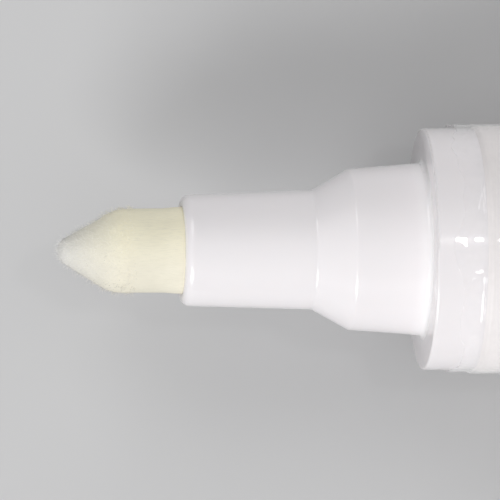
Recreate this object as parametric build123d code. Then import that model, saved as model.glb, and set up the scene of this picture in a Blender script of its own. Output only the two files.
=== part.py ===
from build123d import *
import math
import os

# A pump-valve paint marker lying on its side, nib towards -X, with its cap posted on the tail.
# Outlines are (station, radius) points. A station runs along the marker's axis from the front
# face of the nose's flange, and is negative towards the nib. Lengths are in millimetres and
# angles in degrees.

# Clearances and cuts
fit_clearance = 0.02
slide_clearance = 0.08
stop_gap = 0.1
overrun = 1.0
edge_round = 0.15

# Barrel
barrel_diameter = 14.7
barrel_wall = 1.25
barrel_length = 92.0
barrel_lead_length = 0.3
barrel_lead_inset = 0.15
barrel_lead_round = 0.35
bead_length = 0.9
bead_height = 0.2

# Nib
nib_diameter = 5.0
nib_reach = 7.35
nib_hold = 13.0
nib_tip_round = 0.9
nib_cone_angle = 32.0
nib_shoulder_round = 2.4
nib_rear_chamfer = 0.4

# Nose
lip_wall = 0.72
lip_round = 0.5
tip_tube_length = 7.78
tip_tube_draft = 1.88
cone_length = 2.21
cone_edge_round = 0.3
seat_diameter = 10.28
seat_length = 4.43
seat_draft = 4.57
root_round = 0.3
flange_step = 0.165
flange_length = 3.0
guide_length = 7.0
skirt_wall = 1.2
skirt_length = 13.0
nose_bead_setback = 5.0

# Nib holder
holder_wall = 0.8
holder_depth = 3.6
holder_floor = 1.0
pusher_diameter = 2.0
pusher_length = 2.1

# Valve
press_travel = 2.0
valve_body_wall = 0.9
valve_front_wall = 1.4
valve_body_length = 12.5
orifice_gap = 0.5
lip_ring_width = 0.5
lip_ring_height = 0.4
seal_thickness = 0.8
head_gap = 1.3
head_thickness = 1.4
guide_pin_diameter = 2.2
guide_pin_length = 5.4
cage_thickness = 1.0
cage_rim_length = 1.8
cage_rim_wall = 0.6
flow_hole_diameter = 0.8
flow_hole_count = 8

# Valve spring
spring_wire = 0.45
spring_length = 6.2
spring_turns = 5
spring_inset = 0.6

# Mixing ball
ball_diameter = 6.5
ball_place_share = 0.45

# Tail plug
plug_length = 9.0
plug_wall = 1.2
plug_rim_length = 1.5
plug_bead_setback = 4.0
post_lead_length = 0.9
post_lead_inset = 0.7
post_wall = 1.2

# Film sleeve
film_thickness = 0.08
film_overlap = 1.4
film_lift = 0.1
film_ramp = 0.6
film_tail_gap = 0.5

# Cap
cap_diameter = 15.4
cap_length = 36.0
cap_wall = 1.15
cap_end_wall = 1.6
cap_end_round = 1.2
cap_mouth_round = 0.3
flute_count = 24
flute_length = 11.0
flute_radius = 0.8
flute_depth = 0.35
clip_length = 25.0
clip_width = 5.0
clip_thickness = 1.4
clip_gap = 1.1
clip_root_length = 4.0
clip_setback = 1.6
clip_bump_length = 3.0
clip_bump_gap = 0.3
clip_round = 0.6
clip_sink_share = 0.7

# Cap liner
liner_recess = 0.3
liner_ring_length = 6.0
liner_wall = 1.1
liner_nib_room = 1.6
liner_tube_room = 0.7
liner_end_wall = 1.0

# Stations along the axis
seat_front = -seat_length
cone_front = seat_front - cone_length
nose_front = cone_front - tip_tube_length
nib_tip = nose_front - nib_reach
nib_rear = nose_front + nib_hold
barrel_front = flange_length
barrel_rear = barrel_front + barrel_length
skirt_rear = flange_length + skirt_length
holder_front = nib_rear - holder_depth
holder_rear = nib_rear + fit_clearance + holder_floor
valve_front = holder_rear + press_travel + stop_gap
valve_rear = valve_front + valve_body_length
lip_ring_rear = valve_front + valve_front_wall + lip_ring_height
seal_front = lip_ring_rear + fit_clearance
head_front = seal_front + seal_thickness + fit_clearance
head_rear = head_front + head_thickness
cage_front = head_rear + spring_length
plug_front = barrel_rear - plug_length
plug_rim_rear = barrel_rear + plug_rim_length
post_seat_rear = plug_rim_rear + seat_length
post_rear = post_seat_rear + post_lead_length
cap_front = plug_rim_rear + fit_clearance
cap_rear = cap_front + cap_length
liner_front = cap_front + liner_recess

# Radii from the axis
nib_radius = nib_diameter / 2
barrel_radius = barrel_diameter / 2
bore_radius = barrel_radius - barrel_wall
flange_radius = barrel_radius - flange_step
guide_radius = nib_radius + slide_clearance
lip_radius = guide_radius + lip_wall
tube_rear_radius = lip_radius + tip_tube_length * math.tan(math.radians(tip_tube_draft))
seat_radius = seat_diameter / 2
seat_taper = math.tan(math.radians(seat_draft))
seat_front_radius = seat_radius - seat_length * seat_taper
skirt_radius = bore_radius - fit_clearance
socket_radius = skirt_radius - skirt_wall
holder_bore_radius = nib_radius + fit_clearance
holder_radius = holder_bore_radius + holder_wall
cavity_radius = holder_radius + slide_clearance
pusher_radius = pusher_diameter / 2
orifice_radius = pusher_radius + orifice_gap
lip_ring_radius = orifice_radius + lip_ring_width
valve_body_radius = socket_radius - fit_clearance
valve_bore_radius = valve_body_radius - valve_body_wall
head_radius = valve_bore_radius - head_gap
guide_pin_radius = guide_pin_diameter / 2
spring_radius = head_radius - spring_inset
cage_radius = valve_bore_radius - fit_clearance
flow_hole_radius = flow_hole_diameter / 2
ball_radius = ball_diameter / 2
film_radius = barrel_radius + fit_clearance + film_thickness
cap_radius = cap_diameter / 2
cap_bore_radius = cap_radius - cap_wall
liner_bore_radius = tube_rear_radius + liner_tube_room
liner_ring_radius = cap_bore_radius - fit_clearance
liner_radius = liner_bore_radius + liner_wall

# The origin lies on the table, under the middle of the marker's length
middle = (nib_tip + cap_rear) / 2
axis_height = max(film_radius, cap_radius)


def section(*outline):
    """The face inside a closed outline of (station, radius) points."""
    return make_face(Polyline(*outline, close=True))


def rounded(face, *corners):
    """The face with each (point, radius) corner rounded."""
    for point, radius in corners:
        corner = face.vertices().sort_by_distance(Vector(*point))[0]
        face = fillet(corner, radius)
    return face


def turned(face):
    """The solid that a section makes round the marker's axis."""
    return revolve(face, Axis.X)


def snap_bead(start, radius):
    """Outline points of a snap bead, or of the groove that takes it."""
    return [
        (start, radius),
        (start + bead_length / 2, radius + bead_height),
        (start + bead_length, radius),
    ]


def make_nib():
    """Fibre rod with a rounded conical point."""
    half_angle = math.radians(nib_cone_angle)
    tangent_station = nib_tip + nib_tip_round * (1 - math.sin(half_angle))
    tangent_radius = nib_tip_round * math.cos(half_angle)
    shoulder = tangent_station + (nib_radius - tangent_radius) / math.tan(half_angle)
    point_arc = TangentArc((nib_tip, 0), (tangent_station, tangent_radius), tangent=(0, 1))
    flanks = Polyline(
        (tangent_station, tangent_radius),
        (shoulder, nib_radius),
        (nib_rear - nib_rear_chamfer, nib_radius),
        (nib_rear, nib_radius - nib_rear_chamfer),
        (nib_rear, 0),
        (nib_tip, 0),
    )
    face = make_face([point_arc, *flanks.edges()])
    return turned(rounded(face, ((shoulder, nib_radius), nib_shoulder_round)))


def make_nose():
    """Front section: tip tube, cone, cap seat, flange, and the skirt that plugs into the barrel."""
    cavity_front = holder_front - stop_gap
    face = section(
        (nose_front, lip_radius),
        (cone_front, tube_rear_radius),
        (seat_front, seat_front_radius),
        (0, seat_radius),
        (0, flange_radius),
        (flange_length, flange_radius),
        (flange_length, skirt_radius),
        *snap_bead(flange_length + nose_bead_setback, skirt_radius),
        (skirt_rear, skirt_radius),
        (skirt_rear, socket_radius),
        (valve_front - fit_clearance, socket_radius),
        (valve_front - fit_clearance, cavity_radius),
        (cavity_front, cavity_radius),
        (nose_front + guide_length, guide_radius),
        (nose_front, guide_radius),
    )
    face = rounded(
        face,
        ((nose_front, lip_radius), lip_round),
        ((nose_front, guide_radius), edge_round),
        ((cone_front, tube_rear_radius), cone_edge_round),
        ((seat_front, seat_front_radius), cone_edge_round),
        ((0, seat_radius), root_round),
        ((0, flange_radius), edge_round),
    )
    return turned(face)


def make_nib_holder():
    """Cup for the rear of the nib, with the pin that pushes the valve open."""
    floor_front = nib_rear + fit_clearance
    return turned(
        section(
            (holder_front, holder_bore_radius),
            (holder_front, holder_radius),
            (holder_rear, holder_radius),
            (holder_rear, pusher_radius),
            (holder_rear + pusher_length, pusher_radius),
            (holder_rear + pusher_length, 0),
            (floor_front, 0),
            (floor_front, holder_bore_radius),
        )
    )


def make_valve_body():
    """Cup in the nose's skirt, with the orifice and the raised ring that the seal shuts on."""
    wall_rear = valve_front + valve_front_wall
    return turned(
        section(
            (valve_front, orifice_radius),
            (valve_front, valve_body_radius),
            (valve_rear, valve_body_radius),
            (valve_rear, valve_bore_radius),
            (wall_rear, valve_bore_radius),
            (wall_rear, lip_ring_radius),
            (lip_ring_rear, lip_ring_radius),
            (lip_ring_rear, orifice_radius),
        )
    )


def make_valve_seal():
    """Rubber washer on the front of the poppet's head."""
    return turned(
        section(
            (seal_front, pusher_radius + fit_clearance),
            (seal_front, head_radius),
            (seal_front + seal_thickness, head_radius),
            (seal_front + seal_thickness, pusher_radius + fit_clearance),
        )
    )


def make_valve_poppet():
    """Stem that the pusher meets, head that carries the seal, and pin that guides the spring."""
    stem_front = holder_rear + pusher_length + fit_clearance
    return turned(
        section(
            (stem_front, 0),
            (stem_front, pusher_radius),
            (head_front, pusher_radius),
            (head_front, head_radius),
            (head_rear, head_radius),
            (head_rear, guide_pin_radius),
            (head_rear + guide_pin_length, guide_pin_radius),
            (head_rear + guide_pin_length, 0),
        )
    )


def make_valve_cage():
    """Retainer behind the spring: a rim in the valve body and a disc with flow holes."""
    disc_rear = cage_front + cage_thickness
    cage = turned(
        section(
            (cage_front, guide_pin_radius + slide_clearance),
            (cage_front, cage_radius),
            (cage_front + cage_rim_length, cage_radius),
            (cage_front + cage_rim_length, cage_radius - cage_rim_wall),
            (disc_rear, cage_radius - cage_rim_wall),
            (disc_rear, guide_pin_radius + slide_clearance),
        )
    )
    hole_circle = (cage_radius - cage_rim_wall + spring_radius + spring_wire / 2) / 2
    hole_plane = Plane((cage_front - overrun, 0, 0), x_dir=(0, 1, 0), z_dir=(1, 0, 0))
    hole = Circle(flow_hole_radius)
    for place in PolarLocations(hole_circle, flow_hole_count):
        cage -= extrude(hole_plane * place * hole, cage_thickness + 2 * overrun)
    return cage


def biarc(start, start_direction, end, end_direction):
    """Two tangent arcs from one point and direction to another."""
    span = end - start
    turn = 2 * (start_direction.dot(end_direction) - 1)
    lean = -2 * span.dot(start_direction + end_direction)
    reach = (-lean - math.sqrt(lean**2 - 4 * turn * span.dot(span))) / (2 * turn)
    joint = ((start + start_direction * reach) + (end - end_direction * reach)) / 2
    first = TangentArc(start, joint, tangent=start_direction)
    return [first, TangentArc(joint, end, tangent=first % 1)]


def make_valve_spring():
    """Open coil spring between the poppet's head and the cage, one tube swept on biarcs."""
    coil_front = head_rear + fit_clearance + spring_wire / 2
    coil_length = spring_length - spring_wire - 2 * fit_clearance
    quarters = 4 * spring_turns
    rise = coil_length / (2 * math.pi * spring_turns)

    def helix_point(angle):
        return Vector(
            coil_front + rise * angle,
            spring_radius * math.cos(angle),
            spring_radius * math.sin(angle),
        )

    def helix_direction(angle):
        return Vector(
            rise, -spring_radius * math.sin(angle), spring_radius * math.cos(angle)
        ).normalized()

    angles = [math.pi / 2 * step for step in range(quarters + 1)]
    arcs = []
    for low, high in zip(angles, angles[1:]):
        arcs += biarc(
            helix_point(low), helix_direction(low), helix_point(high), helix_direction(high)
        )
    path = Wire([arc.edge() for arc in arcs])
    print("spring least gap to itself:", round(least_gap(path, quarters), 3), "mm")
    start_plane = Plane(path @ 0, z_dir=path % 0)
    return sweep(start_plane * Circle(spring_wire / 2), path=path)


def least_gap(path, quarters):
    """The smallest space between neighbouring turns of the spring, measured on points."""
    samples_per_turn = 48
    count = samples_per_turn * quarters // 4
    points = [path @ (step / count) for step in range(count + 1)]
    half_turn = samples_per_turn // 2
    nearest = min(
        (points[i] - points[j]).length
        for i in range(count + 1)
        for j in range(i + half_turn, count + 1)
    )
    return nearest - spring_wire


def make_barrel():
    """Tube that holds the paint, grooved inside for the nose and the tail plug."""
    nose_groove = snap_bead(barrel_front + nose_bead_setback, bore_radius)
    plug_groove = snap_bead(plug_front + plug_bead_setback, bore_radius)
    lead_rear = barrel_front + barrel_lead_length
    face = section(
        (barrel_front, barrel_radius - barrel_lead_inset),
        (lead_rear, barrel_radius),
        (barrel_rear, barrel_radius),
        (barrel_rear, bore_radius),
        *reversed(plug_groove),
        *reversed(nose_groove),
        (barrel_front, bore_radius),
    )
    return turned(rounded(face, ((lead_rear, barrel_radius), barrel_lead_round)))


def make_mixing_ball():
    """Steel ball lying on the bottom of the barrel's bore."""
    room_front = skirt_rear + ball_radius + stop_gap
    room_rear = plug_front - ball_radius - stop_gap
    station = room_front + ball_place_share * (room_rear - room_front)
    print("ball travel:", round(room_front - station, 3), round(room_rear - station, 3), "mm")
    drop = bore_radius - slide_clearance - ball_radius
    return Pos(station, 0, -drop) * Sphere(ball_radius)


def make_tail_plug():
    """Hollow rear plug: its body snaps into the barrel, and its tapered post takes the cap."""
    plug_radius = bore_radius - fit_clearance
    post_inner_radius = seat_front_radius - post_wall
    face = section(
        (plug_front, plug_radius),
        *snap_bead(plug_front + plug_bead_setback, plug_radius),
        (barrel_rear, plug_radius),
        (barrel_rear, barrel_radius),
        (plug_rim_rear, barrel_radius),
        (plug_rim_rear, seat_radius),
        (post_seat_rear, seat_front_radius),
        (post_rear, seat_front_radius - post_lead_inset),
        (post_rear, 0),
        (post_rear - post_wall, 0),
        (post_rear - post_wall, post_inner_radius - post_lead_inset),
        (post_seat_rear - post_wall, post_inner_radius),
        (barrel_rear, post_inner_radius),
        (barrel_rear - plug_wall, plug_radius - plug_wall),
        (plug_front, plug_radius - plug_wall),
    )
    face = rounded(
        face,
        ((plug_rim_rear, barrel_radius), edge_round),
        ((plug_rim_rear, seat_radius), edge_round),
    )
    return turned(face)


def make_film_sleeve():
    """Clear film shrunk round the barrel, reaching loosely over the rear of the flange."""
    low = flange_radius + film_lift
    high = barrel_radius + fit_clearance
    ramp_front = barrel_front - film_ramp / 2
    ramp_rear = barrel_front + film_ramp / 2
    film_front = barrel_front - film_overlap
    film_rear = barrel_rear - film_tail_gap
    return turned(
        section(
            (film_front, low),
            (film_front, low + film_thickness),
            (ramp_front, low + film_thickness),
            (ramp_rear, high + film_thickness),
            (film_rear, high + film_thickness),
            (film_rear, high),
            (ramp_rear, high),
            (ramp_front, low),
        )
    )


def make_clip():
    """Pocket clip: a root at the cap's closed end, a straight arm and a bump under its free end."""
    sink = cap_radius - cap_wall * clip_sink_share
    arm_low = cap_radius + clip_gap
    arm_high = arm_low + clip_thickness
    clip_rear = cap_rear - clip_setback
    clip_front = clip_rear - clip_length
    root_front = clip_rear - clip_root_length
    face = section(
        (clip_rear, sink),
        (clip_rear, arm_high),
        (clip_front, arm_high),
        (clip_front, cap_radius + clip_bump_gap),
        (clip_front + clip_bump_length, arm_low),
        (root_front, arm_low),
        (root_front, sink),
    )
    face = rounded(
        face,
        ((clip_rear, arm_high), clip_round),
        ((clip_front, arm_high), clip_round),
        ((root_front, arm_low), clip_gap / 2),
    )
    return extrude(Plane.XZ * face, clip_width / 2, both=True)


def make_cap_shell():
    """Outer cap, mouth towards the barrel, with grip flutes round its closed end and a clip."""
    face = section(
        (cap_front, cap_bore_radius),
        (cap_front, cap_radius),
        (cap_rear, cap_radius),
        (cap_rear, 0),
        (cap_rear - cap_end_wall, 0),
        (cap_rear - cap_end_wall, cap_bore_radius),
    )
    face = rounded(
        face,
        ((cap_front, cap_radius), cap_mouth_round),
        ((cap_rear, cap_radius), cap_end_round),
    )
    shell = turned(face)
    flute_plane = Plane((cap_rear - flute_length, 0, 0), x_dir=(0, 1, 0), z_dir=(1, 0, 0))
    flute_circle = cap_radius + flute_radius - flute_depth
    flute = Circle(flute_radius)
    for place in PolarLocations(flute_circle, flute_count):
        shell -= extrude(flute_plane * place * flute, flute_length + overrun)
    return shell + make_clip()


def make_cap_liner():
    """Inner cap, whose mouth fits the tapered seat and whose closed tube keeps air off the nib."""
    seat_gap = slide_clearance / 2
    mouth_radius = seat_radius - liner_recess * seat_taper + seat_gap
    throat = cap_front + seat_length
    bore_front = throat + cone_length
    bore_rear = cap_front - nib_tip + liner_nib_room
    return turned(
        section(
            (liner_front, mouth_radius),
            (liner_front, liner_ring_radius),
            (liner_front + liner_ring_length, liner_ring_radius),
            (liner_front + liner_ring_length, liner_radius),
            (bore_rear + liner_end_wall, liner_radius),
            (bore_rear + liner_end_wall, 0),
            (bore_rear, 0),
            (bore_rear, liner_bore_radius),
            (bore_front, liner_bore_radius),
            (throat, seat_front_radius + seat_gap),
        )
    )


pieces = {
    "nib": make_nib(),
    "nose": make_nose(),
    "nib_holder": make_nib_holder(),
    "valve_body": make_valve_body(),
    "valve_seal": make_valve_seal(),
    "valve_poppet": make_valve_poppet(),
    "valve_cage": make_valve_cage(),
    "valve_spring": make_valve_spring(),
    "barrel": make_barrel(),
    "mixing_ball": make_mixing_ball(),
    "tail_plug": make_tail_plug(),
    "film_sleeve": make_film_sleeve(),
    "cap_shell": make_cap_shell(),
    "cap_liner": make_cap_liner(),
}

os.makedirs("parts", exist_ok=True)
for name, piece in pieces.items():
    export_step(Pos(-middle, 0, axis_height) * piece, f"parts/{name}.step")
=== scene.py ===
import math
import random

import bpy
from mathutils import Matrix, Vector, noise


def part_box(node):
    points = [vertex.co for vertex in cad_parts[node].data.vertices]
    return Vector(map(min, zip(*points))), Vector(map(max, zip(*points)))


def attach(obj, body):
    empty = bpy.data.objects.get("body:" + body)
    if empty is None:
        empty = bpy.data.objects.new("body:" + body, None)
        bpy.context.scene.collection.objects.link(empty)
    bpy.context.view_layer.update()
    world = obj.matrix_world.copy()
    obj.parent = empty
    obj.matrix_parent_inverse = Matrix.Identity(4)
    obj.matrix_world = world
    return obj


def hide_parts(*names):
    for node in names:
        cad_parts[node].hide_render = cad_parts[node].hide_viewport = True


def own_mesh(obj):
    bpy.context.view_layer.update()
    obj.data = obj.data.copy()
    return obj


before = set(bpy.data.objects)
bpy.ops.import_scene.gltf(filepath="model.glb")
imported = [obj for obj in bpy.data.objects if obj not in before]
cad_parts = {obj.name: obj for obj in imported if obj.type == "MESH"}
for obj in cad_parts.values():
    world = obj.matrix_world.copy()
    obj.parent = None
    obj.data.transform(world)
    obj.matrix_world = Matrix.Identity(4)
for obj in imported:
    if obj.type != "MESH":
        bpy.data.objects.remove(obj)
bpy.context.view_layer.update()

MM = 0.001

# Stations run along the marker's axis from the front face of the nose's flange, towards the cap.
NOSE_LENGTH = 14.42 * MM
# Radius where the nose's cap seat meets its flange
SEAT_ROOT_RADIUS = 5.14 * MM
flange_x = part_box("nose")[0].x + NOSE_LENGTH
nose_front = -NOSE_LENGTH
nib_low, nib_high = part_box("nib")
nib_tip = nib_low.x - flange_x
nib_rear = nib_high.x - flange_x
barrel_low, barrel_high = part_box("barrel")
barrel_radius = (barrel_high.y - barrel_low.y) / 2
axis_z = (barrel_low.z + barrel_high.z) / 2


def place(station, radius, angle):
    """The point at a station and radius; the angle is zero straight up and grows towards +Y."""
    return Vector((
        flange_x + station,
        radius * math.sin(angle),
        axis_z + radius * math.cos(angle),
    ))


def smooth(low, high, value):
    """0 below low, 1 above high, and a smooth step between."""
    share = min(1.0, max(0.0, (value - low) / (high - low)))
    return share * share * (3 - 2 * share)


def angles_round(count):
    """Evenly spaced angles round the axis."""
    return [2 * math.pi * i / count for i in range(count)]


# Meshes


def mesh_object(name, points, faces, material):
    """A smooth-shaded mesh piece made from points and faces."""
    mesh = bpy.data.meshes.new(name)
    mesh.from_pydata(points, [], faces)
    mesh.polygons.foreach_set("use_smooth", [True] * len(faces))
    mesh.materials.append(material)
    mesh.validate()
    piece = bpy.data.objects.new(name, mesh)
    bpy.context.scene.collection.objects.link(piece)
    return piece


def ring_faces(first, second, count, flip=False):
    """Quads between two closed rings of points that start at the given numbers; flip turns them
    to face the other way."""
    quads = [
        (first + i, first + (i + 1) % count, second + (i + 1) % count, second + i)
        for i in range(count)
    ]
    return [quad[::-1] for quad in quads] if flip else quads


# Node trees


class Graph:
    """Builds the node tree of one material or world."""

    def __init__(self, owner):
        owner.use_nodes = True
        self.owner = owner
        self.tree = owner.node_tree
        self.tree.nodes.clear()

    def feed(self, socket, value):
        """Sets an input to a number or colour, or links it to another node's output."""
        if isinstance(value, bpy.types.NodeSocket):
            self.tree.links.new(value, socket)
        else:
            socket.default_value = value

    def add(self, kind, inputs=None, **settings):
        """A new node with its settings made and its inputs fed."""
        node = self.tree.nodes.new(kind)
        for key, value in settings.items():
            setattr(node, key, value)
        for key, value in (inputs or {}).items():
            self.feed(node.inputs[key], value)
        return node

    def coordinates(self, scale=(1, 1, 1), shift=(0, 0, 0)):
        """Coordinates in metres, scaled along each axis and then shifted."""
        spot = self.add("ShaderNodeTexCoord").outputs["Object"]
        inputs = {"Vector": spot, "Scale": scale, "Location": shift}
        return self.add("ShaderNodeMapping", inputs).outputs["Vector"]

    def split(self, vector):
        """A vector's X, Y and Z."""
        return self.add("ShaderNodeSeparateXYZ", {"Vector": vector}).outputs

    def length(self, vector):
        """A vector's length."""
        return self.add("ShaderNodeVectorMath", {0: vector}, operation="LENGTH").outputs["Value"]

    def ring_distance(self, x, radius):
        """Distance in metres from a circle round the marker's axis."""
        out = self.length(self.coordinates(scale=(0, 1, 1), shift=(0, 0, -axis_z)))
        along = self.split(self.coordinates())["X"]
        inputs = {"X": self.math("SUBTRACT", along, x), "Y": self.math("SUBTRACT", out, radius)}
        return self.length(self.add("ShaderNodeCombineXYZ", inputs).outputs["Vector"])

    def noise(self, size, detail=3.0, roughness=0.55, stretch=(1, 1, 1)):
        """Noise whose patches are about one size, in metres, stretched along the axes."""
        inputs = {
            "Vector": self.coordinates([1 / (size * s) for s in stretch]),
            "Scale": 1.0, "Detail": detail, "Roughness": roughness,
        }
        return self.add("ShaderNodeTexNoise", inputs).outputs["Fac"]

    def ramp(self, value, low=0.0, high=1.0, from_low=0.3, from_high=0.7):
        """A value carried from one range to another, held at its ends; noise lies mostly in the
        range that it is carried from unless another is given."""
        inputs = {
            "Value": value, "From Min": from_low, "From Max": from_high,
            "To Min": low, "To Max": high,
        }
        return self.add("ShaderNodeMapRange", inputs).outputs["Result"]

    def mix(self, factor, first, second):
        """A colour between two colours."""
        node = self.add("ShaderNodeMix", {"Factor": factor}, data_type="RGBA")
        sockets = [socket for socket in node.inputs if socket.type == "RGBA"]
        for socket, colour in zip(sockets, (first, second)):
            self.feed(socket, (*colour, 1.0) if isinstance(colour, tuple) else colour)
        return next(socket for socket in node.outputs if socket.type == "RGBA")

    def math(self, operation, first, second):
        """The result of a sum, product or other step with two values."""
        inputs = {0: first, 1: second}
        return self.add("ShaderNodeMath", inputs, operation=operation).outputs["Value"]

    def bump(self, height, distance, normal=None):
        """A normal from a height that spans a distance in metres."""
        inputs = {"Height": height, "Distance": distance, "Strength": 1.0}
        if normal is not None:
            inputs["Normal"] = normal
        return self.add("ShaderNodeBump", inputs).outputs["Normal"]

    def finish(self, shader, output="ShaderNodeOutputMaterial"):
        """Ends the tree in a shader and returns the material or world."""
        self.add(output, {"Surface": shader})
        return self.owner

    def finish_principled(self, inputs):
        """Ends the tree in a principled shader with the given inputs."""
        return self.finish(self.add("ShaderNodeBsdfPrincipled", inputs).outputs["BSDF"])


def scaled(colour, factor):
    """A colour times a factor."""
    return tuple(part * factor for part in colour)


def tinted(colour, tint):
    """A colour times another."""
    return tuple(part * factor for part, factor in zip(colour, tint))


# Plastic

BLACK = (0.0, 0.0, 0.0)
WHITE = (1.0, 1.0, 1.0)
# Unevenness: the size of its patches, the height of its bumps, and what it adds to or takes from
# the roughness
CLOUD_SIZE = 3.5 * MM
CLOUD_STRETCH = (2, 1, 1)
GRAIN_SIZE = 0.09 * MM
GRAIN_HEIGHT = 0.0012 * MM
GRAIN_ROUGHNESS = 0.01
MOULD_RING_SIZE = 0.12 * MM
MOULD_RING_STRETCH = (1, 60, 60)
MOULD_RING_HEIGHT = 0.0015 * MM
SCUFF_SIZE = 0.8 * MM
SCUFF_ROUGHNESS = 0.02
PLASTIC_IOR = 1.49
SCATTER_COLOUR = (1.0, 0.92, 0.86)
# How much painted shade darkens the front edge, and where behind its x that starts to fade and ends
EDGE_PAINTED_SHADE = 0.07
EDGE_FADE = (0.2 * MM, 0.5 * MM)
# How much painted light whitens the corner at a root, and how far from its circle that reaches
ROOT_PAINTED_LIGHT = 0.45
ROOT_REACH = 0.95 * MM


def moulded_plastic(
    name, colour, shade, rough, scatter=0.0, scatter_depth=1.0 * MM, shaded_edge_x=None, root=None
):
    """Injection-moulded plastic: faint flow clouding, mould rings, fine grain, uneven gloss, painted
    shade on the front edge where an x for it is given, and painted light in the corner at a root,
    the (x, radius) of a circle."""
    tree = Graph(bpy.data.materials.new(name))
    cloud = tree.noise(CLOUD_SIZE, detail=2.0, stretch=CLOUD_STRETCH)
    grain = tree.noise(GRAIN_SIZE, detail=2.0)
    rings = tree.noise(MOULD_RING_SIZE, stretch=MOULD_RING_STRETCH)
    scuff = tree.noise(SCUFF_SIZE, detail=4.0, roughness=0.7)
    base = tree.mix(tree.ramp(cloud), colour, shade)
    # Painted shade: darkens the lead-in chamfer behind the front edge, where it catches the lamps
    if shaded_edge_x is not None:
        fade_start, fade_end = (shaded_edge_x + reach for reach in EDGE_FADE)
        along = tree.split(tree.coordinates())["X"]
        base = tree.mix(tree.ramp(along, EDGE_PAINTED_SHADE, 0.0, fade_start, fade_end), base, BLACK)
    # Painted light: whitens the corner at the root, where the flange shades the seat
    if root is not None:
        painted_root_light = tree.ramp(tree.ring_distance(*root), ROOT_PAINTED_LIGHT, 0.0, 0.0, ROOT_REACH)
        base = tree.mix(painted_root_light, base, WHITE)
    scuffed = tree.ramp(scuff, rough - SCUFF_ROUGHNESS, rough + SCUFF_ROUGHNESS)
    grained = tree.ramp(grain, -GRAIN_ROUGHNESS, GRAIN_ROUGHNESS)
    normal = tree.bump(grain, GRAIN_HEIGHT)
    normal = tree.bump(rings, MOULD_RING_HEIGHT, normal)
    return tree.finish_principled({
        "Base Color": base, "Roughness": tree.math("ADD", scuffed, grained), "Normal": normal,
        "IOR": PLASTIC_IOR, "Subsurface Weight": scatter, "Subsurface Radius": SCATTER_COLOUR,
        "Subsurface Scale": scatter_depth,
    })


# Felt

FIBRE_SIZE = 0.05 * MM
FIBRE_STRETCH = (14, 1, 1)
FIBRE_HEIGHT = 0.009 * MM
SPECKLE_SIZE = 0.07 * MM
SPECKLE_HEIGHT = 0.012 * MM
FELT_CLOUD_SIZE = 0.9 * MM
FELT_CLOUD_STRETCH = (2, 1, 1)
FELT_CLOUD_SHADE = 0.95
# Pores between the fibres: their shade, how much of it they take, and the noise where they lie
PORE_SHADE = 0.86
PORE_SHARE = 0.5
PORE_RANGE = (0.32, 0.5)
# How far from the tip the ground point's colour reaches
GROUND_REACH = 3.6 * MM
# Painted shade on the felt's -Y side and painted light on its +Y side, and the distances from the
# axis where each is full
LOW_SIDE_PAINTED_SHADE = (0.985, 0.972, 0.985)
HIGH_SIDE_PAINTED_LIGHT = (1.055, 1.04, 0.985)
PAINTED_SIDE_SPAN = (-1.2 * MM, 1.0 * MM)


def felt(name, cream, ground):
    """Bonded fibre: cream with fine lengthwise fibres, painted light towards +Y and painted shade
    towards -Y, and less yellow where the point was ground."""
    tree = Graph(bpy.data.materials.new(name))
    spot = tree.split(tree.coordinates())
    near_tip = tree.ramp(spot["X"], 1.0, 0.0, nib_low.x, nib_low.x + GROUND_REACH)
    # Painted light on the +Y side and painted shade on the -Y side, blended across the axis
    side = tree.ramp(spot["Y"], 0.0, 1.0, *PAINTED_SIDE_SPAN)
    fibres = tree.noise(FIBRE_SIZE, roughness=0.65, stretch=FIBRE_STRETCH)
    speckle = tree.noise(SPECKLE_SIZE, roughness=0.7)
    cloud = tree.noise(FELT_CLOUD_SIZE, detail=2.0, stretch=FELT_CLOUD_STRETCH)
    # Shaded and lit copies of the cream, painted onto the two sides
    low = tinted(cream, LOW_SIDE_PAINTED_SHADE)
    high = tinted(cream, HIGH_SIDE_PAINTED_LIGHT)
    cloudy = tree.mix(side, scaled(low, FELT_CLOUD_SHADE), scaled(high, FELT_CLOUD_SHADE))
    body = tree.mix(tree.ramp(cloud), tree.mix(side, low, high), cloudy)
    body = tree.mix(near_tip, body, ground)
    pores = tree.math("MULTIPLY", tree.ramp(fibres, 1.0, 0.0, *PORE_RANGE), PORE_SHARE)
    normal = tree.bump(fibres, FIBRE_HEIGHT)
    normal = tree.bump(speckle, SPECKLE_HEIGHT, normal)
    return tree.finish_principled({
        "Base Color": tree.mix(pores, body, scaled(cream, PORE_SHADE)), "Normal": normal,
        "Roughness": 0.92, "Specular IOR Level": 0.2, "Sheen Weight": 0.25, "Sheen Roughness": 0.5,
    })


# Clear film

FILM_SCUFF_SIZE = 0.6 * MM
FILM_RIPPLE_SIZE = 0.9 * MM
FILM_RIPPLE_HEIGHT = 0.004 * MM
FILM_ROUGHNESS = (0.03, 0.07)
FILM_CLEAR_COLOUR = (1.0, 1.0, 1.0, 1.0)
FILM_HAZE_COLOUR = (0.86, 0.86, 0.86, 1.0)
# Shares mirrored and hazed head on, what a slant adds to them, and how late it sets in
FILM_MIRROR = 0.035
FILM_MIRROR_SLANT = 0.35
FILM_HAZE = 0.02
FILM_HAZE_SLANT = 0.6
FILM_SLANT_POWER = 5.0


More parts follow.
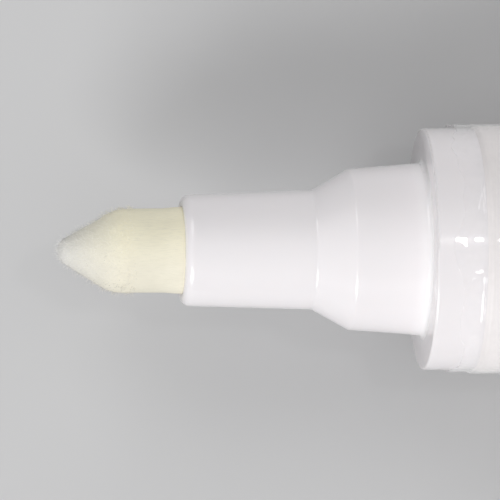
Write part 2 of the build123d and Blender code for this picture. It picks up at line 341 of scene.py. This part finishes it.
def clear_film(name):
    """Thin clear film: it mirrors a little head on and more at a slant, with a faint haze."""
    tree = Graph(bpy.data.materials.new(name))
    facing = tree.add("ShaderNodeLayerWeight", {"Blend": 0.5}).outputs["Facing"]
    slant = tree.math("POWER", facing, FILM_SLANT_POWER)
    front = tree.math("SUBTRACT", 1.0, tree.add("ShaderNodeNewGeometry").outputs["Backfacing"])
    mirror = tree.math("ADD", tree.math("MULTIPLY", slant, FILM_MIRROR_SLANT), FILM_MIRROR)
    mirror = tree.math("MULTIPLY", mirror, front)
    scuff = tree.noise(FILM_SCUFF_SIZE, detail=4.0, roughness=0.65)
    veil = tree.math("MULTIPLY", slant, FILM_HAZE_SLANT)
    veil = tree.math("ADD", tree.ramp(scuff, 0.0, FILM_HAZE), veil)
    normal = tree.bump(tree.noise(FILM_RIPPLE_SIZE, detail=2.0), FILM_RIPPLE_HEIGHT)
    clear = tree.add("ShaderNodeBsdfTransparent", {"Color": FILM_CLEAR_COLOUR})
    haze = tree.add("ShaderNodeBsdfDiffuse", {"Color": FILM_HAZE_COLOUR, "Normal": normal})
    gloss = tree.add("ShaderNodeBsdfGlossy", {
        "Color": FILM_CLEAR_COLOUR, "Roughness": tree.ramp(scuff, *FILM_ROUGHNESS), "Normal": normal,
    })
    hazed = tree.add("ShaderNodeMixShader", {0: veil, 1: clear.outputs[0], 2: haze.outputs[0]})
    film = tree.add("ShaderNodeMixShader", {0: mirror, 1: hazed.outputs[0], 2: gloss.outputs[0]})
    return tree.finish(film.outputs[0])


# Steel, rubber and floor

METAL_MARK_SIZE = 0.04 * MM
METAL_MARK_HEIGHT = 0.001 * MM
METAL_MARK_SHADE = 0.82
METAL_MARK_ROUGHNESS = 0.1
RUBBER_GRAIN_SIZE = 0.06 * MM
RUBBER_GRAIN_HEIGHT = 0.004 * MM
RUBBER_GRAIN_TINT = 1.8
RUBBER_ROUGHNESS = (0.6, 0.8)
FLOOR_CLOUD_SIZE = 60 * MM
FLOOR_CLOUD_SHADE = 0.98


def drawn_metal(name, colour, rough, stretch):
    """Steel with fine drawn or polished marks."""
    tree = Graph(bpy.data.materials.new(name))
    marks = tree.noise(METAL_MARK_SIZE, stretch=stretch)
    return tree.finish_principled({
        "Base Color": tree.mix(tree.ramp(marks), colour, scaled(colour, METAL_MARK_SHADE)),
        "Metallic": 1.0, "Roughness": tree.ramp(marks, rough, rough + METAL_MARK_ROUGHNESS),
        "Normal": tree.bump(marks, METAL_MARK_HEIGHT),
    })


def soft_rubber(name, colour):
    """Black moulded rubber with a fine matt grain."""
    tree = Graph(bpy.data.materials.new(name))
    grain = tree.noise(RUBBER_GRAIN_SIZE)
    return tree.finish_principled({
        "Base Color": tree.mix(tree.ramp(grain), colour, scaled(colour, RUBBER_GRAIN_TINT)),
        "Roughness": tree.ramp(grain, *RUBBER_ROUGHNESS),
        "Normal": tree.bump(grain, RUBBER_GRAIN_HEIGHT),
    })


def pale_floor(name, seen, bounce):
    """Plain studio floor: pale where it is seen or mirrored, darker in the light it throws back."""
    tree = Graph(bpy.data.materials.new(name))
    cloud = tree.noise(FLOOR_CLOUD_SIZE, detail=2.0)
    pale = tree.mix(tree.ramp(cloud), seen, scaled(seen, FLOOR_CLOUD_SHADE))
    ray = tree.add("ShaderNodeLightPath").outputs
    direct = tree.math("MAXIMUM", ray["Is Camera Ray"], ray["Is Glossy Ray"])
    direct = tree.math("MAXIMUM", direct, ray["Is Transmission Ray"])
    return tree.finish_principled({
        "Base Color": tree.mix(direct, bounce, pale), "Roughness": 0.85, "Specular IOR Level": 0.1,
    })


# Nib

NIB_RADIUS = 2.5 * MM
NIB_TIP_ROUND = 0.9 * MM
NIB_CONE_ANGLE = math.radians(32.0)
NIB_SHOULDER_ROUND = 2.4 * MM
NIB_REAR_CHAMFER = 0.4 * MM
NIB_STEP = 0.035 * MM
NIB_HIDDEN_STEP = 1.0 * MM
NIB_SIDES = 360
# Unevenness of the felt: the size of its patches, and how far they stand out
LUMP_SIZE = 0.55 * MM
LUMP_RELIEF = 0.022 * MM
CRUMB_SIZE = 0.11 * MM
CRUMB_RELIEF = 0.016 * MM
STRAND_SIZE = 0.13 * MM
STRAND_STRETCH = 8
STRAND_RELIEF = 0.008 * MM
# Where lumps and crumbs give way to strands behind the tip, and where all fade before the lip
GROUND_FADE = (3.0 * MM, 5.0 * MM)
LIP_FADE = (-0.6 * MM, -0.1 * MM)
# The felt swells to fill the nose's lip: how far, and where that rises and falls about the lip
SWELL = 0.072 * MM
SWELL_RISE = (-1.2 * MM, -0.2 * MM)
SWELL_FALL = (1.0 * MM, 3.0 * MM)
# Wear on the point's +Y side: its depth, how far behind the tip it lies, and its reach
WORN_DEPTH = 0.15 * MM
WORN_PLACE = 2.4 * MM
WORN_REACH = 1.4 * MM
# Stands in for smaller radii, so that nothing is divided by zero on the axis
LEAST_RADIUS = 0.01 * MM


def stretch_points(length, point):
    """Points about a step apart along a stretch; point gives the one at a share of it."""
    steps = round(length / NIB_STEP)
    return [point(i / steps) for i in range(1, steps + 1)]


def nib_outline():
    """(station, radius) along the nib's point and side, with its arcs."""
    angle = NIB_CONE_ANGLE
    tip_turn = math.pi / 2 - angle
    tip_end = nib_tip + NIB_TIP_ROUND * (1 - math.sin(angle))
    tip_end_radius = NIB_TIP_ROUND * math.cos(angle)
    blend = NIB_SHOULDER_ROUND * math.tan(angle / 2)
    shoulder = tip_end + (NIB_RADIUS - tip_end_radius) / math.tan(angle)
    cone_end = shoulder - blend * math.cos(angle)
    cone_end_radius = NIB_RADIUS - blend * math.sin(angle)

    def tip_point(share):
        turn = tip_turn * share
        return nib_tip + NIB_TIP_ROUND * (1 - math.cos(turn)), NIB_TIP_ROUND * math.sin(turn)

    def cone_point(share):
        return (
            tip_end + share * (cone_end - tip_end),
            tip_end_radius + share * (cone_end_radius - tip_end_radius),
        )

    def shoulder_point(share):
        turn = angle * (1 - share)
        return (
            shoulder + blend - NIB_SHOULDER_ROUND * math.sin(turn),
            NIB_RADIUS - NIB_SHOULDER_ROUND * (1 - math.cos(turn)),
        )

    points = stretch_points(tip_turn * NIB_TIP_ROUND, tip_point)
    points += stretch_points((cone_end - tip_end) / math.cos(angle), cone_point)
    points += stretch_points(angle * NIB_SHOULDER_ROUND, shoulder_point)
    station = points[-1][0]
    while station < nib_rear - NIB_HIDDEN_STEP:
        station += NIB_STEP if station < nose_front + NIB_STEP else NIB_HIDDEN_STEP
        points.append((station, NIB_RADIUS))
    points[-1] = (nib_rear - NIB_REAR_CHAMFER, NIB_RADIUS)
    points.append((nib_rear, NIB_RADIUS - NIB_REAR_CHAMFER))
    return points


def felt_relief(point, station):
    """How far the felt's surface stands off its outline: lumps and crumbs at the point, which is
    worn a little on its +Y side, flat lengthwise strands along the side, and a snug fit where it
    passes through the nose's lip."""
    behind_tip = station - nib_tip
    behind_lip = station - nose_front
    ground = 1 - smooth(*GROUND_FADE, behind_tip)
    lumps = LUMP_RELIEF * noise.noise(point / LUMP_SIZE)
    crumbs = CRUMB_RELIEF * noise.noise(point / CRUMB_SIZE)
    long_point = Vector((point.x / STRAND_STRETCH, point.y, point.z))
    strands = STRAND_RELIEF * noise.noise(long_point / STRAND_SIZE)
    relief = ground * (lumps + crumbs) + (1 - ground) * strands
    relief *= 1 - smooth(*LIP_FADE, behind_lip)
    swell = SWELL * smooth(*SWELL_RISE, behind_lip) * (1 - smooth(*SWELL_FALL, behind_lip))
    lean = point.y / max(math.hypot(point.y, point.z - axis_z), LEAST_RADIUS)
    off = (behind_tip - WORN_PLACE) / WORN_REACH
    worn = WORN_DEPTH * math.exp(-(off ** 2)) * (0.5 + 0.5 * lean) ** 2
    return relief + swell - worn


def make_nib_felt(outline, material):
    """The felt nib with its own uneven surface."""
    angles = angles_round(NIB_SIDES)
    tip = place(nib_tip, 0.0, 0.0)
    points = [tip - Vector((felt_relief(tip, nib_tip), 0, 0))]
    for row, (station, radius) in enumerate(outline):
        before = outline[max(0, row - 1)]
        after = outline[min(len(outline) - 1, row + 1)]
        slope = math.atan2(after[1] - before[1], after[0] - before[0])
        for angle in angles:
            off = felt_relief(place(station, radius, angle), station)
            points.append(
                place(station - off * math.sin(slope), radius + off * math.cos(slope), angle)
            )
    faces = [(0, 1 + i, 1 + (i + 1) % NIB_SIDES) for i in range(NIB_SIDES)]
    starts = [1 + NIB_SIDES * row for row in range(len(outline))]
    for first, second in zip(starts, starts[1:]):
        faces += ring_faces(first, second, NIB_SIDES, flip=True)
    faces.append(tuple(reversed(range(starts[-1], starts[-1] + NIB_SIDES))))
    piece = mesh_object("nib_felt", points, faces, material)
    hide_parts("nib")
    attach(piece, "nib")


# Fuzz on the nib

HAIR_COUNT = 2200
HAIR_SEED = 11
HAIR_REACH = 4.6 * MM
# Below 1, it moves hairs from the tip to where the cone is wider
HAIR_SPREAD = 0.6
HAIR_LENGTHS = (0.10 * MM, 0.45 * MM)
HAIR_RADII = (0.006 * MM, 0.011 * MM)
HAIR_TAPER = 0.6
HAIR_SINK = 0.02 * MM
# Parts of a hair's direction: out from the felt, towards the tip, and to either side
HAIR_STAND = (0.35, 1.0)
HAIR_LEAN = (-0.3, 1.4)
HAIR_SIDEWAYS = (-0.9, 0.9)
HAIR_CURL = 0.45
HAIR_SEGMENTS = 4
HAIR_SIDES = 3


def add_hair(draw, rows, points, faces):
    """Adds one loose fibre end, a thin bent strand."""
    row = int(draw.random() ** HAIR_SPREAD * (len(rows) - 2))
    angle = draw.uniform(0, 2 * math.pi)
    root = place(*rows[row], angle)
    slope = (place(*rows[row + 1], angle) - root).normalized()
    side = Vector((0, math.cos(angle), -math.sin(angle)))
    out = slope.cross(side).normalized()
    if out.dot(place(0, 1, angle) - place(0, 0, angle)) < 0:
        out = -out
    root += out * (felt_relief(root, rows[row][0]) - HAIR_SINK)
    lean = -slope * draw.uniform(*HAIR_LEAN) + side * draw.uniform(*HAIR_SIDEWAYS)
    direction = (out * draw.uniform(*HAIR_STAND) + lean).normalized()
    curl = (side * draw.uniform(-1, 1) + slope * draw.uniform(-1, 1)) * HAIR_CURL
    length = draw.uniform(*HAIR_LENGTHS)
    radius = draw.uniform(*HAIR_RADII)
    across = direction.orthogonal().normalized()
    starts = []
    for segment in range(HAIR_SEGMENTS + 1):
        starts.append(len(points))
        share = segment / HAIR_SEGMENTS
        centre = root + (direction + curl * share) * length * share
        for turn in angles_round(HAIR_SIDES):
            edge = Matrix.Rotation(turn, 3, direction) @ across
            points.append(centre + edge * radius * (1 - HAIR_TAPER * share))
    for first, second in zip(starts, starts[1:]):
        faces += ring_faces(first, second, HAIR_SIDES)
    faces.append(tuple(reversed(range(starts[0], starts[0] + HAIR_SIDES))))
    faces.append(tuple(range(starts[-1], starts[-1] + HAIR_SIDES)))


def make_nib_fuzz(outline, material):
    """Loose fibre ends on the ground point."""
    draw = random.Random(HAIR_SEED)
    rows = [row for row in outline if row[0] < nib_tip + HAIR_REACH]
    points, faces = [], []
    for _ in range(HAIR_COUNT):
        add_hair(draw, rows, points, faces)
    piece = mesh_object("nib_fuzz", points, faces, material)
    piece.visible_shadow = False
    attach(piece, "nib")


# Film

FILM_THICKNESS = 0.05 * MM
FILM_CLEARANCE = 0.03 * MM
# The inner radius where the film is loose over the flange, how much more that is on the +Y side,
# and how fast it widens towards the front edge
FILM_LOOSE_RADIUS = 7.29 * MM
FILM_LOOSE_LEAN = 0.05 * MM
FILM_FLARE = 0.027
# Points round the film, and its rows: close together up to the fine end, far apart behind it
FILM_SIDES = 600
FILM_FINE_END = 3.6 * MM
FILM_FINE_ROWS = 100
FILM_PLAIN_ROWS = 30
# The film's inner side lies against the marker, so it has one row in five
FILM_INNER_STEP = 5
# The front edge's station, the tongue on it with its angle and half width in degrees, and its
# waves: a height, the angle of a patch in radians, and a seed
FILM_EDGE = 1.6 * MM
FILM_TONGUE = 0.55 * MM
FILM_TONGUE_ANGLE = 3.0
FILM_TONGUE_WIDTH = 14.0
FILM_EDGE_WAVES = ((0.7 * MM, 0.5, 3.1), (0.22 * MM, 0.11, 7.7))
# Where the film climbs from the flange to the barrel: a station in mm, and the share climbed
FILM_RAMP = ((2.68, 0.0), (2.80, 0.36), (2.88, 1.0))
# How far along the axis the climb wanders in mm, the angle of a patch in radians, and a seed
FILM_RAMP_WAVE = (0.05, 0.4, 1.7)
# Creases near the film's front edge: a height in mm, then (angle in degrees, station in mm) points
FILM_CREASES = (
    (0.030, ((76, 3.06), (60, 2.97), (45, 2.92), (30, 2.84), (18, 2.55), (6, 2.30))),
    (0.008, ((14, 3.44), (4, 3.50), (-6, 3.42))),
    (0.022, ((-27, 2.20), (-38, 2.30), (-50, 2.32), (-60, 2.12))),
    (0.040, ((14, 1.75), (4, 1.95), (-4, 1.80))),
    (0.045, ((84, 2.45), (70, 2.35), (62, 2.10))),
    (0.050, ((100, 2.60), (125, 2.85), (150, 2.70))),
    (0.050, ((160, 2.30), (185, 2.50), (205, 2.35))),
    (0.050, ((-80, 2.55), (-100, 2.80), (-128, 2.72))),
    (0.045, ((-120, 2.15), (-140, 2.30), (-158, 2.20))),
)
CREASE_WIDTH = 0.10 * MM
# Share of a crease's half length where it starts to fade towards its end
CREASE_FADE = 0.55
# Tucks along the film: a height in mm, then the angle and half width in degrees, and where each
# starts and ends in mm
FILM_TUCKS = (
    (0.017, -0.4, 2.0, 1.50, 2.10),
    (0.108, -12.4, 2.4, 2.16, 2.93),
    (0.050, 118.0, 1.6, 1.90, 2.60),
    (0.045, -150.0, 1.4, 1.80, 2.50),
    (0.050, 172.0, 1.6, 2.00, 2.70),
)
# How far outside and inside its start and end a tuck rises and falls, in mm
TUCK_OUTSIDE = 0.45
TUCK_INSIDE = 0.15
# Crumples near the front edge, calmer on the tongue: their sizes, height and reach, the share of
# the smaller ones and of those on the tongue, and the degrees from it where they grow
CRUMPLE_SIZE = 1.1 * MM
SMALL_CRUMPLE_SIZE = 0.45 * MM
SMALL_CRUMPLE_SHARE = 0.4
CRUMPLE_HEIGHT = 0.045 * MM
CRUMPLE_REACH = 1.6 * MM
TONGUE_CRUMPLE_SHARE = 0.35
TONGUE_CALM = (16, 24)
# Faint waves all along the film
WAVE_SIZE = 1.8 * MM
WAVE_STRETCH = 5
WAVE_HEIGHT = 0.005 * MM


def round_noise(angle, size, seed):
    """Noise round the axis, the same after a full turn; size is about a patch's angle."""
    return noise.noise(Vector((math.cos(angle) / size, math.sin(angle) / size, seed)))


def half_turn(degrees):
    """The same angle between -180 and 180 degrees."""
    return (degrees + 180) % 360 - 180


def film_edge(angle):
    """Station of the film's uneven front edge."""
    waves = sum(height * round_noise(angle, size, seed) for height, size, seed in FILM_EDGE_WAVES)
    off = half_turn(math.degrees(angle) - FILM_TONGUE_ANGLE) / FILM_TONGUE_WIDTH
    return FILM_EDGE + waves - FILM_TONGUE * math.exp(-(off ** 2))


def ramp_share(station):
    """Share of the climb to the barrel that the film has made at a station in mm."""
    for (first, low), (second, high) in zip(FILM_RAMP, FILM_RAMP[1:]):
        if station < second:
            return low + (high - low) * max(0.0, (station - first) / (second - first))
    return 1.0


def film_seat(station, angle):
    """Inner radius of the smooth film: loose over the flange, then up a short ramp to the barrel."""
    loose = FILM_LOOSE_RADIUS + FILM_LOOSE_LEAN * math.sin(angle)
    loose += FILM_FLARE * max(0.0, FILM_RAMP[0][0] * MM - station)
    snug = barrel_radius + FILM_CLEARANCE
    wander, size, seed = FILM_RAMP_WAVE
    climbed = ramp_share(station / MM + wander * round_noise(angle, size, seed))
    return loose + (snug - loose) * climbed


def crease_height(station, degrees, height, line):
    """Height in mm of one crease, a ridge along a line of (angle, station) points."""
    for (first, first_station), (second, second_station) in zip(line, line[1:]):
        share = half_turn(degrees - first) / (second - first)
        if 0 <= share <= 1:
            middle = first_station + smooth(0, 1, share) * (second_station - first_station)
            half_length = abs(line[0][0] - line[-1][0]) / 2
            reach = abs(half_turn((line[0][0] + line[-1][0]) / 2 - degrees))
            fade = 1 - smooth(CREASE_FADE, 1.0, reach / half_length)
            off = (station - middle * MM) / CREASE_WIDTH
            return height * fade * math.exp(-(off ** 2))
    return 0.0


def tuck_height(station, degrees, height, middle, width, start, end):
    """Height in mm of one tuck, a ridge along the marker's axis."""
    off = half_turn(degrees - middle) / width
    begun = smooth(start - TUCK_OUTSIDE, start + TUCK_INSIDE, station / MM)
    ended = smooth(end - TUCK_INSIDE, end + TUCK_OUTSIDE, station / MM)
    return height * begun * (1 - ended) * math.exp(-(off ** 2))


def film_relief(station, angle):
    """How far the film stands off its seat: creases, tucks, crumples at the edge, faint waves."""
    degrees = math.degrees(angle)
    ridges = sum(crease_height(station, degrees, *crease) for crease in FILM_CREASES)
    ridges += sum(tuck_height(station, degrees, *tuck) for tuck in FILM_TUCKS)
    point = Vector((station, barrel_radius * math.cos(angle), barrel_radius * math.sin(angle)))
    crumple = noise.noise(point / CRUMPLE_SIZE)
    crumple += SMALL_CRUMPLE_SHARE * noise.noise(point / SMALL_CRUMPLE_SIZE)
    off_tongue = smooth(*TONGUE_CALM, abs(half_turn(degrees - FILM_TONGUE_ANGLE)))
    crumple *= TONGUE_CRUMPLE_SHARE + (1 - TONGUE_CRUMPLE_SHARE) * off_tongue
    crumple *= 1 - smooth(FILM_EDGE, FILM_EDGE + CRUMPLE_REACH, station)
    long_point = Vector((station / WAVE_STRETCH, point.y, point.z))
    waves = WAVE_HEIGHT * (1 + noise.noise(long_point / WAVE_SIZE))
    return ridges * MM + CRUMPLE_HEIGHT * max(0.0, crumple) + waves


def make_film_wrap(material):
    """The clear film as a closed thin sleeve with an uneven, creased front edge."""
    film_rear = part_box("film_sleeve")[1].x - flange_x
    angles = angles_round(FILM_SIDES)
    edges = [film_edge(angle) for angle in angles]
    rows = []
    for i in range(FILM_FINE_ROWS + 1):
        share = i / FILM_FINE_ROWS
        rows.append([edge + share * (FILM_FINE_END - edge) for edge in edges])
    for i in range(1, FILM_PLAIN_ROWS + 1):
        station = FILM_FINE_END + (film_rear - FILM_FINE_END) * i / FILM_PLAIN_ROWS
        rows.append([station] * FILM_SIDES)
    points, faces, starts = [], [], []
    for side_rows, lift in ((rows, FILM_THICKNESS), (rows[::FILM_INNER_STEP], 0.0)):
        starts.append([])
        for row in side_rows:
            starts[-1].append(len(points))
            for station, angle in zip(row, angles):
                radius = film_seat(station, angle) + film_relief(station, angle)
                points.append(place(station, radius + lift, angle))
    outer, inner = starts
    for first, second in zip(outer, outer[1:]):
        faces += ring_faces(first, second, FILM_SIDES, flip=True)
    for first, second in zip(inner, inner[1:]):
        faces += ring_faces(first, second, FILM_SIDES)
    faces += ring_faces(outer[0], inner[0], FILM_SIDES)
    faces += ring_faces(outer[-1], inner[-1], FILM_SIDES, flip=True)
    piece = mesh_object("film_wrap", points, faces, material)
    piece.visible_shadow = False
    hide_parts("film_sleeve")
    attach(piece, "marker")


# Valve spring

COIL_WIRE = 0.45 * MM
COIL_TURNS = 5
COIL_STEPS = 40
COIL_SIDES = 12


def make_valve_coil(material):
    """The valve's coil spring, which in the real marker shortens as the nib is pressed in."""
    low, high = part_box("valve_spring")
    front = low.x + COIL_WIRE / 2
    rear = high.x - COIL_WIRE / 2
    radius = (high.y - low.y) / 2 - COIL_WIRE / 2
    along = Vector((1, 0, 0))
    steps = COIL_TURNS * COIL_STEPS
    points, faces, starts = [], [], []
    for step in range(steps + 1):
        starts.append(len(points))
        turn = 2 * math.pi * COIL_TURNS * step / steps
        out = Vector((0, math.cos(turn), math.sin(turn)))
        centre = Vector((front + (rear - front) * step / steps, 0, axis_z)) + out * radius
        for angle in angles_round(COIL_SIDES):
            off = out * math.cos(angle) + along * math.sin(angle)
            points.append(centre + off * COIL_WIRE / 2)
    for first, second in zip(starts, starts[1:]):
        faces += ring_faces(first, second, COIL_SIDES, flip=True)
    faces.append(tuple(range(COIL_SIDES)))
    faces.append(tuple(reversed(range(starts[-1], starts[-1] + COIL_SIDES))))
    piece = mesh_object("valve_coil", points, faces, material)
    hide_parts("valve_spring")
    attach(piece, "marker")
    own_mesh(piece)


# Studio

VIEW_STATION = -10.28 * MM
VIEW_TILT = math.radians(6.6)
VIEW_ROLL = math.radians(-0.29)
VIEW_DISTANCE = 0.5
VIEW_LENS = 606.0
FLOOR_SIZE = 6.0
FLOOR_SEEN = (0.60, 0.60, 0.605)
FLOOR_BOUNCE = (0.12, 0.12, 0.125)
# How much the world's light leans towards +X, and the heights and colours of its low and high ends
WORLD_LEAN = 0.8
WORLD_HEIGHTS = (-0.45, 0.15)
WORLD_LOW = (0.11, 0.113, 0.117)
WORLD_HIGH = (0.40, 0.40, 0.40)
LAMP_DISTANCE = 0.85
# Lamps: a name, a direction from the view's middle, a size in metres, the share of a white
# surface's brightness that it gives where it shines straight on, and whether it is mirrored
LAMPS = (
    ("key", (-0.37, -0.79, 0.49), 0.45, 0.81, True),
    ("fill", (-0.36, 0.69, 0.63), 0.45, 0.25, True),
    ("side", (0.0, 0.97, 0.25), 0.45, 0.215, False),
    ("overhead", (0.205, 0.139, 0.969), 0.038, 0.03, True),
)


def make_camera():
    """Looks down on the front of the marker, tilted a little towards the nib."""
    target = place(VIEW_STATION, 0.0, 0.0)
    back = Vector((-math.sin(VIEW_TILT), 0, math.cos(VIEW_TILT)))
    right = Vector((0, 1, 0)).cross(back)
    up = back.cross(right)
    turn = Matrix((right, up, back)).transposed().to_4x4() @ Matrix.Rotation(VIEW_ROLL, 4, "Z")
    data = bpy.data.cameras.new("camera")
    data.lens = VIEW_LENS
    camera = bpy.data.objects.new("camera", data)
    camera.matrix_world = Matrix.Translation(target + back * VIEW_DISTANCE) @ turn
    bpy.context.scene.collection.objects.link(camera)
    bpy.context.scene.camera = camera


def add_softbox(name, direction, size, level, mirrored):
    """A square area lamp that shines at the view's middle, with the energy that gives its level."""
    away = Vector(direction).normalized() * LAMP_DISTANCE
    data = bpy.data.lights.new(name, "AREA")
    data.size = size
    data.energy = level * (math.pi * LAMP_DISTANCE) ** 2
    lamp = bpy.data.objects.new(name, data)
    lamp.location = place(VIEW_STATION, 0.0, 0.0) + away
    lamp.rotation_euler = away.to_track_quat("Z", "Y").to_euler()
    lamp.visible_glossy = mirrored
    bpy.context.scene.collection.objects.link(lamp)


def make_world():
    """Even overhead light that falls off and cools a little towards the nib's horizon."""
    tree = Graph(bpy.data.worlds.new("world"))
    direction = tree.split(tree.add("ShaderNodeTexCoord").outputs["Generated"])
    height = tree.math("ADD", tree.math("MULTIPLY", direction["X"], WORLD_LEAN), direction["Z"])
    colour = tree.mix(tree.ramp(height, 0.0, 1.0, *WORLD_HEIGHTS), WORLD_LOW, WORLD_HIGH)
    background = tree.add("ShaderNodeBackground", {"Color": colour}).outputs["Background"]
    bpy.context.scene.world = tree.finish(background, "ShaderNodeOutputWorld")


def make_studio():
    """Pale floor, soft world light, and lamps on both sides of the marker."""
    half = FLOOR_SIZE / 2
    corners = [(-half, -half, 0), (half, -half, 0), (half, half, 0), (-half, half, 0)]
    material = pale_floor("floor", FLOOR_SEEN, FLOOR_BOUNCE)
    floor = mesh_object("floor", corners, [(0, 1, 2, 3)], material)
    make_world()
    bpy.context.scene.view_settings.view_transform = "Standard"
    for lamp in LAMPS:
        add_softbox(*lamp)


# Putting it together

# Colours; each felt has one for its ground point, and each plastic one for its flow clouds
FELT_CREAM = (0.865, 0.835, 0.69)
FELT_GROUND = (0.65, 0.645, 0.63)
FUZZ_CREAM = (0.90, 0.88, 0.80)
FUZZ_GROUND = (0.92, 0.91, 0.89)
NOSE_WHITE = (0.885, 0.853, 0.868)
NOSE_CLOUD = (0.875, 0.843, 0.858)
BARREL_WHITE = (0.858, 0.822, 0.822)
BARREL_CLOUD = (0.843, 0.807, 0.802)
CAP_WHITE = NOSE_WHITE
CAP_CLOUD = (0.875, 0.84, 0.855)
LINER_WHITE = (0.80, 0.80, 0.78)
LINER_CLOUD = (0.77, 0.77, 0.75)
VALVE_WHITE = (0.78, 0.78, 0.75)
VALVE_CLOUD = (0.75, 0.75, 0.72)
SEAL_BLACK = (0.02, 0.02, 0.02)
SPRING_STEEL = (0.62, 0.62, 0.63)
BALL_STEEL = (0.7, 0.7, 0.72)

nib_points = nib_outline()
make_nib_felt(nib_points, felt("felt", FELT_CREAM, FELT_GROUND))
make_nib_fuzz(nib_points, felt("felt_fuzz", FUZZ_CREAM, FUZZ_GROUND))
make_film_wrap(clear_film("film"))
make_valve_coil(drawn_metal("spring_wire", SPRING_STEEL, rough=0.25, stretch=(12, 1, 1)))

# The nose has painted light in the corner where its seat meets the flange
nose_plastic = moulded_plastic(
    "nose_white", NOSE_WHITE, NOSE_CLOUD, rough=0.18, scatter=0.15, scatter_depth=1.5 * MM,
    root=(flange_x, SEAT_ROOT_RADIUS),
)
# The barrel's front edge is darkened by painted shade
barrel_plastic = moulded_plastic(
    "barrel_white", BARREL_WHITE, BARREL_CLOUD, rough=0.55, shaded_edge_x=barrel_low.x
)
cap_plastic = moulded_plastic("cap_white", CAP_WHITE, CAP_CLOUD, rough=0.20, scatter=0.2)
liner_plastic = moulded_plastic("liner_white", LINER_WHITE, LINER_CLOUD, rough=0.5, scatter=0.3)
valve_plastic = moulded_plastic("valve_white", VALVE_WHITE, VALVE_CLOUD, rough=0.5, scatter=0.2)
node_materials = {
    "nose": nose_plastic,
    "tail_plug": nose_plastic,
    "barrel": barrel_plastic,
    "cap_shell": cap_plastic,
    "cap_liner": liner_plastic,
    "nib_holder": valve_plastic,
    "valve_body": valve_plastic,
    "valve_poppet": valve_plastic,
    "valve_cage": valve_plastic,
    "valve_seal": soft_rubber("seal_black", SEAL_BLACK),
    "mixing_ball": drawn_metal("ball_steel", BALL_STEEL, rough=0.12, stretch=(1, 1, 1)),
}
for node, material in node_materials.items():
    for material_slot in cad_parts[node].material_slots:
        material_slot.material = material

make_camera()
make_studio()
